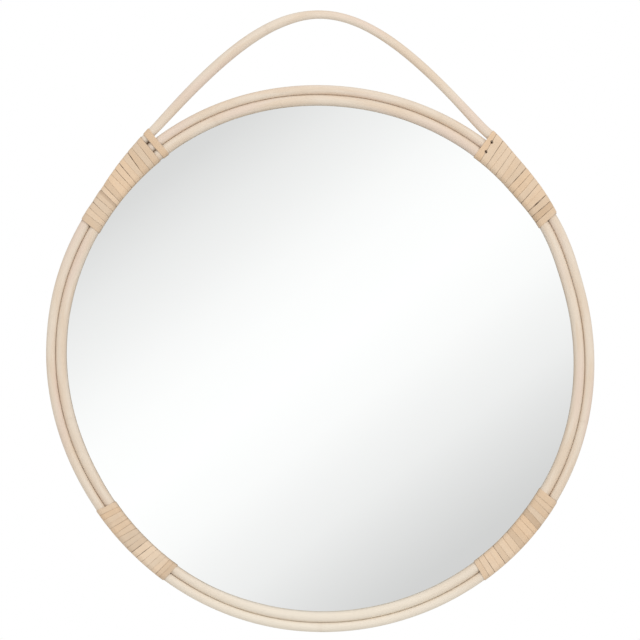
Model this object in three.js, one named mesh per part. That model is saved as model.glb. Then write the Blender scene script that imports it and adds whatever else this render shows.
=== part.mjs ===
// A round wall mirror in a rattan frame. Two bent hoops lie side by side round the glass, an arch
// rises above them to hang the mirror by, and four bindings of flat cane hold the poles together.
// Millimetres, +Z up, the glass faces -Y. The origin is the middle of the backing board's back
// face, which lies on the wall. Angles run from +X towards +Z.

import * as THREE from "three";

// Hoops: two round poles bent into rings that touch, in one plane.
const frameDiameter = 500;
const outerPoleDiameter = 9;
const innerPoleDiameter = 9.3;
const poleClearance = 0.3;

// The hoops are bent by hand and not quite round. Each line is one wave round the ring: how many
// high places it has, how high they are and the angle of one of them.
const hoopWaves = [
  { count: 2, height: 1.6, degrees: -42 },
  { count: 3, height: 0.5, degrees: 47 },
  { count: 4, height: 0.35, degrees: -27 },
  { count: 5, height: 0.45, degrees: -31 },
  { count: 6, height: 0.15, degrees: -7 },
];

// They also bulge where the upper right binding starts.
const bulgeHeight = 1.6;
const bulgeStartDegrees = 16;
const bulgePeakDegrees = 30;
const bulgeEndDegrees = 43;

// Arch: one round pole, an open curve at the crown and straight arms that end beside the outer hoop.
// The diameter is that of its thickest place, on the left arm. The profile gives its thickness as a
// share of that, from the right tip over the crown to the left tip: both ends are cut down.
const archDiameter = 10.2;
const archProfile = [
  { degrees: 31.5, share: 0.08 },
  { degrees: 38.5, share: 0.41 },
  { degrees: 46, share: 0.57 },
  { degrees: 52, share: 0.9 },
  { degrees: 56, share: 0.9 },
  { degrees: 62, share: 0.83 },
  { degrees: 78, share: 0.82 },
  { degrees: 88, share: 0.79 },
  { degrees: 91, share: 0.79 },
  { degrees: 96, share: 0.91 },
  { degrees: 103, share: 0.98 },
  { degrees: 111, share: 1 },
  { degrees: 120, share: 0.93 },
  { degrees: 127, share: 0.85 },
  { degrees: 133, share: 0.56 },
  { degrees: 142.2, share: 0.08 },
];
const archRise = 63.3;
const archCrownRadius = 82.3;
const archCrownShift = -1.9;
const archArmDegrees = 55.9;
const archLeavingBend = 1.2;
const archSettlingDegrees = 8;
const archTipCover = 5.6;
const archTipSink = 11.2;

// Bindings: one flat strip each, wound round the poles turn by turn.
const upperStripWidth = 5.6;
const lowerLeftStripWidth = 5;
const lowerRightStripWidth = 5.5;
const stripThickness = 0.6;
const stripEdgeBevel = 0.5;
const stripClearance = 0.3;
const turnClearance = 0.35;

// Each binding: where its middle is on the ring, how many turns it has, the way round that they run
// and how wide its strip is. The two at the arch end in a collar after a bare stretch, and hold one
// end of the arch, which goes in as far as archReach.
const bindings = [
  {
    name: "binding_upper_left",
    middleDegrees: 138.6,
    turns: 15,
    sense: -1,
    stripWidth: upperStripWidth,
    collarSpace: 3,
    archReach: 64,
  },
  {
    name: "binding_upper_right",
    middleDegrees: 42.1,
    turns: 14,
    sense: 1,
    stripWidth: upperStripWidth,
    collarSpace: 2,
    archReach: 90,
  },
  {
    name: "binding_lower_left",
    middleDegrees: 224.6,
    turns: 16,
    sense: -1,
    stripWidth: lowerLeftStripWidth,
  },
  {
    name: "binding_lower_right",
    middleDegrees: 317.8,
    turns: 16,
    sense: -1,
    stripWidth: lowerRightStripWidth,
  },
];
const [leftBinding, rightBinding] = bindings;

// Glass and board: two discs behind the hoops.
const glassThickness = 3;
const glassOverlap = 7.2;
const boardThickness = 3;
const boardRim = 2;
const layerClearance = 0.3;

// Mesh fineness.
const hoopSteps = 84;
const archSteps = 48;
const poleSides = 8;
const outlineSides = 12;
const discSegments = 60;

const outerPoleRadius = outerPoleDiameter / 2;
const innerPoleRadius = innerPoleDiameter / 2;
const frameRadius = frameDiameter / 2;
const outerHoopRadius = frameRadius - outerPoleRadius;
const creviceRadius = outerHoopRadius - outerPoleRadius;
const innerHoopRadius = creviceRadius - poleClearance - innerPoleRadius;

// The layers, from the wall forward: board, glass, the bindings' backs, the poles.
const boardFrontY = -boardThickness;
const glassBackY = boardFrontY - layerClearance;
const glassFrontY = glassBackY - glassThickness;
const bindingsBackY = glassFrontY - layerClearance;
const thickestPole = Math.max(outerPoleDiameter, innerPoleDiameter, archDiameter);
const polePlaneY = bindingsBackY - stripThickness - stripClearance - thickestPole / 2;

const radians = THREE.MathUtils.degToRad;

const caneColour = 0xe4d3bd;
const stripColour = 0xdcc2a0;
const silverColour = 0xe9ecec;
const boardColour = 0xa88a66;

/** How far the hoops depart from a circle at an angle between -180 and 360 degrees. */
function bendAt(angle) {
  const heights = hoopWaves.map(({ count, height, degrees }) => {
    return height * Math.cos(count * (angle - radians(degrees)));
  });
  const peak = radians(bulgePeakDegrees);
  const risen = THREE.MathUtils.smoothstep(angle, radians(bulgeStartDegrees), peak);
  const fallen = THREE.MathUtils.smoothstep(angle, peak, radians(bulgeEndDegrees));
  return heights.reduce((sum, height) => sum + height, bulgeHeight * (risen - fallen));
}

/** A point at an angle and a distance from the middle, at a depth. */
function ringPoint(angle, distance, y) {
  return new THREE.Vector3(distance * Math.cos(angle), y, distance * Math.sin(angle));
}

/** A length along the ring as an angle, measured where the two hoops touch. */
function arcAngle(length) {
  return length / creviceRadius;
}

/** Half the angle that a binding covers. */
function halfSpan({ turns, stripWidth, collarSpace }) {
  const wound = turns * (stripWidth + turnClearance);
  const collar = collarSpace ? collarSpace + stripWidth : 0;
  return arcAngle(wound + collar) / 2;
}

/** The angle at which a binding's last turn ends. */
function lastEnd(binding) {
  return radians(binding.middleDegrees) + binding.sense * halfSpan(binding);
}

const archLeftTip = lastEnd(leftBinding) + arcAngle(leftBinding.archReach);
const archRightTip = lastEnd(rightBinding) - arcAngle(rightBinding.archReach);

/** The arch's radius at an angle, read between the two nearest places of its profile. */
function archRadiusAt(angle) {
  const degrees = THREE.MathUtils.radToDeg(angle);
  const found = archProfile.findIndex((place) => place.degrees > degrees);
  const after = found < 0 ? archProfile.length - 1 : Math.max(found, 1);
  const low = archProfile[after - 1];
  const high = archProfile[after];
  const part = THREE.MathUtils.clamp((degrees - low.degrees) / (high.degrees - low.degrees), 0, 1);
  return (archDiameter * THREE.MathUtils.lerp(low.share, high.share, part)) / 2;
}

/** Distance from the middle to the free arch, a hyperbola whose arms tend to a straight slope. */
function freeArchDistance(angle) {
  const slope = Math.tan(radians(archArmDegrees));
  const depth = archCrownRadius * slope * slope;
  const apex = frameRadius + archRise + depth;
  const across = Math.cos(angle);
  const up = Math.sin(angle);
  const linear = apex * up - slope * slope * across * archCrownShift;
  const constant = apex * apex - depth * depth - (slope * archCrownShift) ** 2;
  const quadratic = up * up - slope * slope * across * across;
  return constant / (linear + Math.sqrt(linear * linear - quadratic * constant));
}

/** Distance from the middle to the arch's centre line, which settles against the outer hoop. */
function archDistance(angle) {
  const seat = frameRadius + bendAt(angle) + poleClearance;
  const rise = (freeArchDistance(angle) - seat - archRadiusAt(angle)) / 2;
  const standOff = rise + Math.sqrt(rise * rise + archLeavingBend * archLeavingBend);
  const inside = Math.max(angle - lastEnd(leftBinding), lastEnd(rightBinding) - angle);
  const settled = THREE.MathUtils.smoothstep(inside, 0, radians(archSettlingDegrees));
  return seat + archRadiusAt(angle) + standOff * (1 - settled);
}

/** A closed mesh through equal sections, capped at both ends. */
function loft(sections) {
  const sides = sections[0].length;
  const last = (sections.length - 1) * sides;
  const indices = [];
  for (let here = 0; here < last; here += sides) {
    const next = here + sides;
    for (let j = 0; j < sides; j += 1) {
      const k = (j + 1) % sides;
      indices.push(here + j, next + k, next + j, here + j, here + k, next + k);
    }
  }
  for (let j = 1; j < sides - 1; j += 1) {
    indices.push(0, j + 1, j, last, last + j, last + j + 1);
  }
  const geometry = new THREE.BufferGeometry().setFromPoints(sections.flat());
  geometry.setIndex(indices);
  geometry.computeVertexNormals();
  return geometry;
}

/** A hoop: a round pole bent into a ring that isn't quite round. */
function hoopGeometry(ringRadius, poleRadius) {
  const hoop = new THREE.TorusGeometry(ringRadius, poleRadius, poleSides, hoopSteps);
  hoop.rotateX(Math.PI / 2);
  hoop.translate(0, polePlaneY, 0);
  const positions = hoop.getAttribute("position");
  const point = new THREE.Vector3();
  for (let i = 0; i < positions.count; i += 1) {
    point.fromBufferAttribute(positions, i);
    const angle = Math.atan2(point.z, point.x);
    point.add(ringPoint(angle, bendAt(angle), 0));
    positions.setXYZ(i, ...point);
  }
  hoop.computeVertexNormals();
  return hoop;
}

/** The arch: a round pole from one cut-down tip over the crown to the other. */
function archGeometry() {
  const nudge = arcAngle(0.01);
  const centreAt = (angle) => ringPoint(angle, archDistance(angle), polePlaneY);
  const sections = [];
  for (let step = 0; step <= archSteps; step += 1) {
    const angle = THREE.MathUtils.lerp(archRightTip, archLeftTip, step / archSteps);
    const centre = centreAt(angle);
    const along = centreAt(angle + nudge).sub(centreAt(angle - nudge)).normalize();
    const outward = new THREE.Vector3(along.z, 0, -along.x).multiplyScalar(archRadiusAt(angle));
    const towardsWall = new THREE.Vector3(0, archRadiusAt(angle), 0);
    const section = Array.from({ length: poleSides }, (_, side) => {
      const turn = (2 * Math.PI * side) / poleSides;
      const point = centre.clone().addScaledVector(outward, Math.cos(turn));
      return point.addScaledVector(towardsWall, Math.sin(turn));
    });
    sections.push(section);
  }
  return loft(sections);
}

/** The poles that a binding goes round at an angle: how far out each lies and its radius. */
function polesAt(angle) {
  const poles = [
    { distance: innerHoopRadius + bendAt(angle), radius: innerPoleRadius },
    { distance: outerHoopRadius + bendAt(angle), radius: outerPoleRadius },
  ];
  // Past a tip of the arch the turns keep its height for archTipCover, then sink over archTipSink.
  const pastTip = Math.max(angle - archLeftTip, archRightTip - angle);
  const sunk = THREE.MathUtils.clamp((pastTip - arcAngle(archTipCover)) / arcAngle(archTipSink), 0, 1);
  if (sunk < 1) {
    poles.push({ distance: archDistance(angle), radius: archRadiusAt(angle) * (1 - sunk) });
  }
  return poles;
}

/** A corner of the outline drawn tight round the poles with outlineSides straight sides. */
function outlineCorner(angle, corner, offset) {
  const poles = polesAt(angle);
  const reach = (facing) => {
    const extents = poles.map(({ distance, radius }) => distance * Math.cos(facing) + radius);
    return Math.max(...extents) + offset;
  };
  const first = (2 * Math.PI * corner) / outlineSides;
  const second = (2 * Math.PI * (corner + 1)) / outlineSides;
  const crossing = Math.sin(second - first);
  const distance = (reach(first) * Math.sin(second) - reach(second) * Math.sin(first)) / crossing;
  const depth = (reach(second) * Math.cos(first) - reach(first) * Math.cos(second)) / crossing;
  return ringPoint(angle, distance, polePlaneY + depth);
}

/** A binding: one flat strip wound round the poles, its ends and the step to its collar behind. */
function bindingGeometry(binding) {
  const { turns, sense, stripWidth, collarSpace = 0 } = binding;
  const pitch = stripWidth + turnClearance;
  const allTurns = collarSpace ? turns + 1 : turns;
  const start = lastEnd(binding) - 2 * sense * halfSpan(binding);
  const behind = outlineSides / 4;
  const halfWidth = arcAngle(stripWidth) / 2;
  const bevelled = halfWidth - arcAngle(stripEdgeBevel);
  const outside = stripClearance + stripThickness;
  const sections = [];
  for (let step = 0; step < allTurns * outlineSides; step += 1) {
    const skipped = step < turns * outlineSides ? 0 : collarSpace;
    const wound = pitch * (step / outlineSides - 0.5) + stripWidth / 2 + skipped;
    const angle = start + sense * arcAngle(wound);
    const corner = behind + step;
    const section = [
      outlineCorner(angle - halfWidth, corner, stripClearance),
      outlineCorner(angle + halfWidth, corner, stripClearance),
      outlineCorner(angle + bevelled, corner, outside),
      outlineCorner(angle - bevelled, corner, outside),
    ];
    sections.push(section);
  }
  return loft(sections);
}

/** A disc between two depths, its axis along Y. */
function discGeometry(radius, frontY, backY) {
  const profile = [
    new THREE.Vector2(0, frontY),
    new THREE.Vector2(radius, frontY),
    new THREE.Vector2(radius, backY),
    new THREE.Vector2(0, backY),
  ];
  return new THREE.LatheGeometry(profile, discSegments);
}

/** A named piece with its finish. */
function piece(name, geometry, color, roughness, metalness = 0) {
  const material = new THREE.MeshStandardMaterial({ color, roughness, metalness });
  const mesh = new THREE.Mesh(geometry, material);
  mesh.name = name;
  return mesh;
}

const glassRadius = innerHoopRadius - innerPoleRadius + glassOverlap;
const boardRadius = glassRadius + boardRim;

const mirror = new THREE.Group();
mirror.name = "wall_mirror";
mirror.add(piece("outer_hoop", hoopGeometry(outerHoopRadius, outerPoleRadius), caneColour, 0.6));
mirror.add(piece("inner_hoop", hoopGeometry(innerHoopRadius, innerPoleRadius), caneColour, 0.6));
mirror.add(piece("hanging_arch", archGeometry(), caneColour, 0.6));
for (const binding of bindings) {
  mirror.add(piece(binding.name, bindingGeometry(binding), stripColour, 0.65));
}
const glass = discGeometry(glassRadius, glassFrontY, glassBackY);
const board = discGeometry(boardRadius, boardFrontY, 0);
mirror.add(piece("mirror_glass", glass, silverColour, 0.03, 1));
mirror.add(piece("backing_board", board, boardColour, 0.85));

export default mirror;
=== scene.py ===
"""A round wall mirror in a rattan frame.

Two bent hoops lie side by side round the glass, an arch rises above them to hang the mirror by,
and four bindings of flat cane hold the poles together. Sizes in the classes are millimetres and
meshes are metres. The glass faces -Y, Z is up, and an angle on the ring runs from +X towards +Z.
"""

import sys

import logging
import math
from collections.abc import Callable
from dataclasses import dataclass, field
from enum import Enum
from typing import Any

import bpy
import numpy as np
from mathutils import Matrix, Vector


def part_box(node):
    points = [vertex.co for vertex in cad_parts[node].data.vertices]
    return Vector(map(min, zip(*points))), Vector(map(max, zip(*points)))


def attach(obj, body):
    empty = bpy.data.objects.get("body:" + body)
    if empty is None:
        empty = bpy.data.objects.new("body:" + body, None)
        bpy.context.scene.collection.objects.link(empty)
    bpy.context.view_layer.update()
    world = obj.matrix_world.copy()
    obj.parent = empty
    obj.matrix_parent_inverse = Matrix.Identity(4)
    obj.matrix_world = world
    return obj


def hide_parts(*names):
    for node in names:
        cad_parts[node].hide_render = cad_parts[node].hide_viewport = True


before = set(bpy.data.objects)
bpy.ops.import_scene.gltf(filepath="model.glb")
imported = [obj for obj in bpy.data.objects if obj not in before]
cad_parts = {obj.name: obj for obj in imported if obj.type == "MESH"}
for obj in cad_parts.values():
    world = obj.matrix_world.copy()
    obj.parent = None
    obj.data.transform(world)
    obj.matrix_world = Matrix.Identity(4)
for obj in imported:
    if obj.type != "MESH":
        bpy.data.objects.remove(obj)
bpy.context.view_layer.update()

MM = 0.001
NEARLY = 0.999
Triple = tuple[float, float, float]
Colour = Triple
Pairs = tuple[tuple[float, float], ...]
Setting = dict[str, Any]
log = logging.getLogger("wall_mirror")


def depths(node: str) -> tuple[float, float]:
    """Where a CAD node starts and ends along Y, in millimetres."""
    low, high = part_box(node)
    return low[1] / MM, high[1] / MM


def middle_depth(node: str) -> float:
    """The middle of a CAD node along Y, in millimetres."""
    return sum(depths(node)) / 2.0


def half_width(node: str) -> float:
    """Half of a CAD node's length along X, in millimetres."""
    low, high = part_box(node)
    return (high[0] - low[0]) / 2.0 / MM


def clamp01(value: np.ndarray) -> np.ndarray:
    """Holds values between 0 and 1."""
    return np.clip(value, 0.0, 1.0)


def ease(value: np.ndarray, low: float, high: float) -> np.ndarray:
    """Rises smoothly from 0 at low to 1 at high: 3t^2 - 2t^3 of the share t of the way."""
    share = clamp01((value - low) / (high - low))
    return share * share * (3.0 - 2.0 * share)


def degrees_round(angle: np.ndarray) -> np.ndarray:
    """Angles as degrees from 0 to 360."""
    return np.degrees(np.mod(angle, 2.0 * np.pi))


def read_off(table: Pairs, at: np.ndarray) -> np.ndarray:
    """Reads a table of places and values, with straight lines between its rows."""
    places, values = np.array(table).T
    return np.interp(at, places, values)


def around(angle: np.ndarray, distance: Any, depth: Any) -> np.ndarray:
    """Points in metres at angles on the ring and distances from its middle, at depths along Y."""
    places = np.broadcast_arrays(distance * np.cos(angle), depth, distance * np.sin(angle))
    return np.stack(places, axis=-1) * MM


def through_knots(knots: np.ndarray, turn: np.ndarray) -> np.ndarray:
    """A smooth line through values that are given four times a turn.

    Between two values it is the cubic whose slope at each is half the rise between the values on
    either side of it.

    Args:
        knots: The values.
        turn: The counts of turns to read the line at.

    Returns:
        The line's value at each count.
    """
    place = turn * 4.0
    left = np.clip(np.floor(place).astype(int), 0, len(knots) - 2)
    part = place - left
    before, start, end, after = (
        knots[np.clip(left + step, 0, len(knots) - 1)] for step in (-1, 0, 1, 2)
    )
    cubic = 3.0 * start - before - 3.0 * end + after
    square = 2.0 * before - 5.0 * start + 4.0 * end - after
    return 0.5 * (2.0 * start + (end - before + (square + cubic * part) * part) * part)


def ripple(along: np.ndarray, wavelength: float, seed: int) -> np.ndarray:
    """A gentle irregular wave: the mean of four sines of unlike wavelengths and random starts.

    Args:
        along: Distance, in the wavelength's unit.
        wavelength: The longest of the four waves.
        seed: Chooses where the waves start.

    Returns:
        Values between -1 and 1.
    """
    starts = np.random.default_rng(seed).uniform(0.0, 2.0 * np.pi, 4)
    rates = np.array([1.0, 1.73, 2.91, 4.37]) * 2.0 * np.pi / wavelength
    return np.mean(np.sin(along[..., None] * rates + starts), axis=-1)


def with_ends(rows: np.ndarray, closed: bool) -> np.ndarray:
    """Rows of vectors as one list, with the means of the first and the last row if open."""
    ends = [] if closed else [rows[0].mean(axis=0), rows[-1].mean(axis=0)]
    return np.vstack([rows.reshape(-1, 3), *ends])


def skin(
    name: str,
    points: np.ndarray,
    attributes: dict[str, np.ndarray],
    closed: bool = False,
    row_slots: np.ndarray | None = None,
    sharp_degrees: float | None = None,
) -> bpy.types.Object:
    """Makes a closed surface from a grid of points.

    Each row of the grid is a closed line, and rows are joined to the next by quads. The rows form
    a ring when closed is true. Otherwise each end is shut by a fan of triangles round its middle.

    Args:
        name: The object's name.
        points: Places in metres, as rows x columns x 3.
        attributes: Vectors for the points, as rows x columns x 3 each.
        closed: Whether the last row joins the first.
        row_slots: The material slot of the faces after each row.
        sharp_degrees: Edges that turn more than this stay sharp.

    Returns:
        The object, with smooth faces that point outwards.
    """
    rows, columns = points.shape[:2]
    spans = rows if closed else rows - 1
    here = np.arange(spans)[:, None] * columns
    there = (here + columns) % (rows * columns)
    left = np.arange(columns)[None, :]
    right = (left + 1) % columns
    quads = np.stack([here + left, here + right, there + right, there + left], axis=-1)
    quads = quads.reshape(-1, 4)
    corners = with_ends(points, closed)
    caps = np.zeros((0, 3), dtype=int)
    if not closed:
        first = np.arange(columns)
        last = first + (rows - 1) * columns
        middle = np.full(columns, rows * columns)
        near = np.stack([np.roll(first, -1), first, middle], axis=-1)
        far = np.stack([last, np.roll(last, -1), middle + 1], axis=-1)
        caps = np.vstack([near, far])
    faces = quads.tolist() + caps.tolist()
    a, b, c = corners[np.vstack([quads[:, :3], quads[:, [0, 2, 3]], caps])].transpose(1, 0, 2)
    if np.sum(np.cross(b, c) * a) < 0.0:
        faces = [face[::-1] for face in faces]
    mesh = bpy.data.meshes.new(name)
    mesh.from_pydata(corners.tolist(), [], faces)
    for key, vectors in attributes.items():
        attribute = mesh.attributes.new(key, "FLOAT_VECTOR", "POINT")
        flat = with_ends(vectors, closed).astype(np.float32).ravel()
        attribute.data.foreach_set("vector", flat)
    if row_slots is not None:
        slots = np.repeat(row_slots, columns)
        if not closed:
            slots = np.concatenate([slots, np.repeat([row_slots[0], row_slots[-1]], columns)])
        mesh.polygons.foreach_set("material_index", slots.astype(np.int32))
    mesh.polygons.foreach_set("use_smooth", np.ones(len(faces), dtype=bool))
    if sharp_degrees is not None:
        mesh.set_sharp_from_angle(angle=math.radians(sharp_degrees))
    mesh.update()
    piece = bpy.data.objects.new(name, mesh)
    bpy.context.scene.collection.objects.link(piece)
    return piece


def joining(operation: str, swapped: bool = False) -> Callable[["Wire", Any], "Wire"]:
    """Makes an operator of wires, which joins a wire and a number or wire by one Math node.

    Args:
        operation: The Math node's operation.
        swapped: Whether the other value comes first.

    Returns:
        The operator.
    """

    def joined(wire: "Wire", other: Any) -> "Wire":
        """The Math node's result."""
        first, second = (other, wire) if swapped else (wire, other)
        return wire.nodes.math(operation, first, second)

    return joined


class Wire:
    """A socket that takes part in sums as a number does."""

    def __init__(self, nodes: "Nodes", socket: bpy.types.NodeSocket) -> None:
        """Keeps the socket and the nodes it belongs to."""
        self.nodes = nodes
        self.socket = socket

    __add__ = __radd__ = joining("ADD")
    __sub__ = joining("SUBTRACT")
    __rsub__ = joining("SUBTRACT", swapped=True)
    __mul__ = __rmul__ = joining("MULTIPLY")

    def __abs__(self) -> "Wire":
        """Size without sign."""
        return self.nodes.math("ABSOLUTE", self)

    def clamped(self) -> "Wire":
        """The value held between 0 and 1."""
        return self.nodes.math("MINIMUM", self.nodes.math("MAXIMUM", self, 0.0), 1.0)

    def eased(self, low: float, high: float) -> "Wire":
        """The value's smooth rise from 0 at low to 1 at high."""
        settings = {"interpolation_type": "SMOOTHSTEP"}
        return self.nodes.wire("MapRange", settings, {0: self, 1: low, 2: high, 3: 0.0, 4: 1.0})


class Nodes:
    """The nodes of one material or of the world."""

    def __init__(self, owner: bpy.types.Material | bpy.types.World) -> None:
        """Starts from an empty tree."""
        owner.use_nodes = True
        owner.node_tree.nodes.clear()
        self.owner = owner
        self.tree = owner.node_tree

    def add(self, kind: str, settings: Setting, values: dict[Any, Any]) -> bpy.types.Node:
        """Adds one node.

        Args:
            kind: The node's type, without its prefix.
            settings: What is set on the node itself; stops are a ramp's places and colours.
            values: Numbers, colours or wires for its sockets, by name or number.

        Returns:
            The node.
        """
        node = self.tree.nodes.new("ShaderNode" + kind)
        for key, setting in settings.items():
            if key == "stops":
                elements = node.color_ramp.elements
                for _ in setting[2:]:
                    elements.new(0.5)
                for element, (place, colour) in zip(elements, setting):
                    element.position = place
                    element.color = (*colour, 1.0)
            else:
                setattr(node, key, setting)
        for key, value in values.items():
            if isinstance(value, Wire):
                self.tree.links.new(value.socket, node.inputs[key])
            else:
                node.inputs[key].default_value = value
        return node

    def wire(
        self, kind: str, settings: Setting, values: dict[Any, Any], output: int | str = 0
    ) -> Wire:
        """Adds one node and takes one of its outputs, given by name or number."""
        return Wire(self, self.add(kind, settings, values).outputs[output])

    def math(self, operation: str, first: Any, second: Any = 0.0) -> Wire:
        """The result of one Math node for two numbers or wires."""
        return self.wire("Math", {"operation": operation}, {0: first, 1: second})

    def mix(self, share: Any, first: Any, second: Any, blend: str = "MIX") -> Wire:
        """Mixes two colours or wires.

        Args:
            share: How much of the second is in it.
            first: The one that a share of 0 gives.
            second: The one that a share of 1 gives.
            blend: How the second meets the first.

        Returns:
            The mixed colour.
        """
        both = [(*c, 1.0) if isinstance(c, tuple) else c for c in (first, second)]
        settings = {"data_type": "RGBA", "blend_type": blend}
        return self.wire("Mix", settings, {0: share, 6: both[0], 7: both[1]}, 2)

    def shaded(self, colour: Any, brightness: Wire) -> Wire:
        """A colour times a brightness."""
        return self.mix(1.0, colour, self.grey(brightness), "MULTIPLY")

    def grey(self, brightness: Wire) -> Wire:
        """A brightness as a colour."""
        return self.wire("CombineColor", {}, {0: brightness, 1: brightness, 2: brightness})

    def noise(self, place: Wire, lump: Triple, detail: float = 2.0, rough: float = 0.5) -> Wire:
        """A cloudy pattern between 0 and 1.

        Args:
            place: Where to read it, in metres.
            lump: The length of its lumps in each direction, in metres.
            detail: How many finer patterns are laid over it.
            rough: How strong they are.

        Returns:
            The pattern.
        """
        place = self.wire("VectorMath", {"operation": "DIVIDE"}, {0: place, 1: lump})
        values = {"Vector": place, "Scale": 1.0, "Detail": detail, "Roughness": rough}
        return self.wire("TexNoise", {}, values, "Fac")

    def place(self) -> Wire:
        """The place on the object, in metres."""
        return self.wire("TexCoord", {}, {}, "Object")

    def parts(self, vector: Wire) -> tuple[Wire, Wire, Wire]:
        """The three numbers of a vector."""
        node = self.add("SeparateXYZ", {}, {0: vector})
        return tuple(Wire(self, node.outputs[k]) for k in range(3))

    def attribute(self, name: str) -> Wire:
        """A vector that the mesh carries at its points."""
        return self.wire("Attribute", {"attribute_name": name}, {}, "Vector")

    def bump(self, height: Wire, distance: float, strength: float) -> Wire:
        """The normal of a surface raised by a height of 0 to 1 times a distance in metres."""
        values = {"Height": height, "Distance": distance, "Strength": strength}
        return self.wire("Bump", {}, values)

    def dressed(self, values: dict[str, Any]) -> bpy.types.Material:
        """The material, with one principled shader joined to its output."""
        self.add("OutputMaterial", {}, {0: self.wire("BsdfPrincipled", {}, values)})
        return self.owner


def material_nodes(name: str) -> Nodes:
    """The empty nodes of a new material."""
    return Nodes(bpy.data.materials.new(name))


@dataclass(frozen=True)
class RattanPoleFinish:
    """Peeled rattan: pale, with long soft fibres and fine pores; painted shade where two poles
    meet and under the bindings, and painted light low on the ring.
    """

    pale: Colour = (0.75, 0.645, 0.53)
    warm: Colour = (0.72, 0.59, 0.46)
    pink: Colour = (0.73, 0.59, 0.49)
    # The paler colour of painted light on the lowest stretch of the ring.
    painted_low_light: Colour = (0.82, 0.745, 0.63)
    # The dark brown of painted shade, laid in the crevices between poles and under the bindings.
    pole_painted_shade: Colour = (0.30, 0.19, 0.115)
    pore: Colour = (0.47, 0.34, 0.235)

    def material(self) -> bpy.types.Material:
        """Builds the material.

        The pattern's place is the length along the pole and the two distances across it, so that
        fibres run with the pole and meet without a seam.

        Returns:
            The material.
        """
        nodes = material_nodes("rattan_pole")
        grain = nodes.attribute("grain")
        crevice, painted_wrap_shade, joint = nodes.parts(nodes.attribute("place"))
        cloud = nodes.noise(grain, (0.045, 0.006, 0.006))
        patch = nodes.noise(grain, (0.11, 0.02, 0.02), 1.0)
        fibre = nodes.noise(grain, (0.030, 0.0007, 0.0007), 3.0, 0.6)
        dash = nodes.noise(grain, (0.0042, 0.00022, 0.00022), 1.0)
        pores = dash.eased(0.66, 0.78)
        colour = nodes.mix(cloud.eased(0.38, 0.66), self.pale, self.warm)
        colour = nodes.mix(patch.eased(0.52, 0.68) * 0.75, colour, self.pink)
        # Painted light: the poles low on the ring are made paler, as if lit from below.
        _, _, north = nodes.parts(nodes.place())
        low = (north * -1.0).eased(0.17, 0.24)
        colour = nodes.mix(low * 0.8, colour, self.painted_low_light)
        colour = nodes.shaded(colour, 0.94 + fibre * 0.12)
        colour = nodes.mix(pores * 0.35, colour, self.pore)
        colour = nodes.mix(joint * 0.12, colour, self.pore)
        # Painted shade in the crevices between poles, faint in the open and strong under the
        # bindings; then painted shade on the poles under the turns and beside a collar.
        colour = nodes.mix((crevice * (0.05 + painted_wrap_shade * 0.85)).clamped(), colour, self.pole_painted_shade)
        colour = nodes.mix((painted_wrap_shade * 0.55).clamped(), colour, self.pole_painted_shade)
        height = fibre * 0.6 + cloud * 0.4 - pores * 0.5
        return nodes.dressed({
            "Base Color": colour,
            "Roughness": 0.56 + fibre * 0.16,
            "Specular IOR Level": 0.35,
            "Normal": nodes.bump(height, 0.00012, 0.55),
        })


@dataclass(frozen=True)
class CaneStripFinish:
    """Flat cane: straw coloured skin with straight fibres and brown specks, with painted shade at
    its edges and on its underside.
    """

    straw: Colour = (0.70, 0.53, 0.368)
    sandy: Colour = (0.645, 0.535, 0.42)
    golden: Colour = (0.735, 0.51, 0.32)
    stain: Colour = (0.44, 0.29, 0.17)
    # The dark brown of painted shade at the strip's edges, on its underside and on the shaded
    # edges of some turns.
    edge: Colour = (0.30, 0.19, 0.115)

    def material(self) -> bpy.types.Material:
        """Builds the material.

        The pattern's place is the length along the strip and the distance across it. Each turn
        carries a lightness, a warmth and a stain of its own.

        Returns:
            The material.
        """
        nodes = material_nodes("rattan_strip")
        grain = nodes.attribute("grain")
        across, strength, under = nodes.parts(nodes.attribute("place"))
        lightness, warmth, stained = nodes.parts(nodes.attribute("tone"))
        fibre = nodes.noise(grain, (0.040, 0.00045, 0.01), 3.0, 0.6)
        cloud = nodes.noise(grain, (0.016, 0.0035, 0.01))
        speck = nodes.noise(grain, (0.0019, 0.0011, 0.01), 1.0)
        specks = speck.eased(0.73, 0.80)
        # Painted shade along the strip's edges, deeper where the gap to the next turn is wider.
        edges = abs(across).eased(0.88, 1.0) * (0.25 + 0.75 * cloud) * strength
        warm = (warmth * 0.5 + 0.5 + (cloud - 0.5) * 0.8).clamped()
        colour = nodes.mix(warm, self.sandy, self.golden)
        colour = nodes.mix(0.45, colour, self.straw)
        colour = nodes.shaded(colour, 0.93 + fibre * 0.14 + lightness * 0.085)
        colour = nodes.mix(specks * 0.45, colour, self.stain)
        colour = nodes.mix((stained * (0.5 + cloud)).clamped(), colour, self.stain)
        # Painted shade at the edges, then on the underside and on the shaded edges of some turns.
        colour = nodes.mix(edges.clamped(), colour, self.edge)
        colour = nodes.mix((under * 0.55).clamped(), colour, self.edge)
        height = fibre * 0.55 + cloud * 0.45
        return nodes.dressed({
            "Base Color": colour,
            "Roughness": 0.44 + fibre * 0.18 + edges * 0.2,
            "Specular IOR Level": 0.4,
            "Normal": nodes.bump(height, 0.0001, 0.6),
        })


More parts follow.
